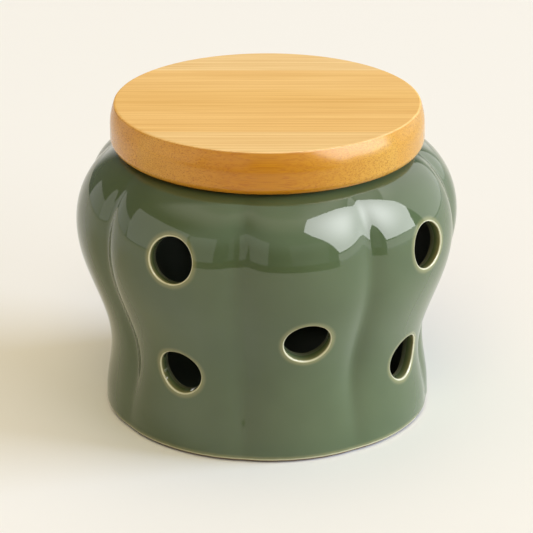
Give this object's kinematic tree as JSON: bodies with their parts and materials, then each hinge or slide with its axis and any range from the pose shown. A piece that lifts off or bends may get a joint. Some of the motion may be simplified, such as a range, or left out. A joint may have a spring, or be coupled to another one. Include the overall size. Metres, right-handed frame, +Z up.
{
  "type": "vented keeper jar",
  "caption": "Lobed ceramic keeper jar with round air vents through its wall and a laminated bamboo lid whose plug and seal ring sit in the mouth.",
  "frame": {"origin": "centre of the foot, on the surface that the jar stands on", "axes": "+Z up along the jar's axis; -Y faces the front lobe, which has one vent"},
  "size_m": [0.133, 0.133, 0.11],
  "materials": {
    "celadon_glaze": "glossy grey-green glaze, thin and pale at the vents' edges",
    "bamboo_1": "oiled bamboo, satin",
    "bamboo_2": "oiled bamboo, satin",
    "bamboo_3": "oiled bamboo, satin",
    "bamboo_4": "oiled bamboo, satin",
    "bamboo_5": "oiled bamboo, satin",
    "bamboo_plug": "oiled bamboo, satin",
    "silicone": "milky silicone"
  },
  "bodies": {
    "jar": {"jar_body": "celadon_glaze"},
    "lid": {"lid_strip_1": "bamboo_1", "lid_strip_2": "bamboo_2", "lid_strip_3": "bamboo_3", "lid_strip_4": "bamboo_4", "lid_strip_5": "bamboo_5", "lid_plug": "bamboo_plug", "seal_ring": "silicone"}
  },
  "joints": [
    {"name": "lid_lift", "type": "slide", "parent": "jar", "child": "lid", "axis": [0, 0, 1], "range_m": [0, 0.06]}
  ]
}
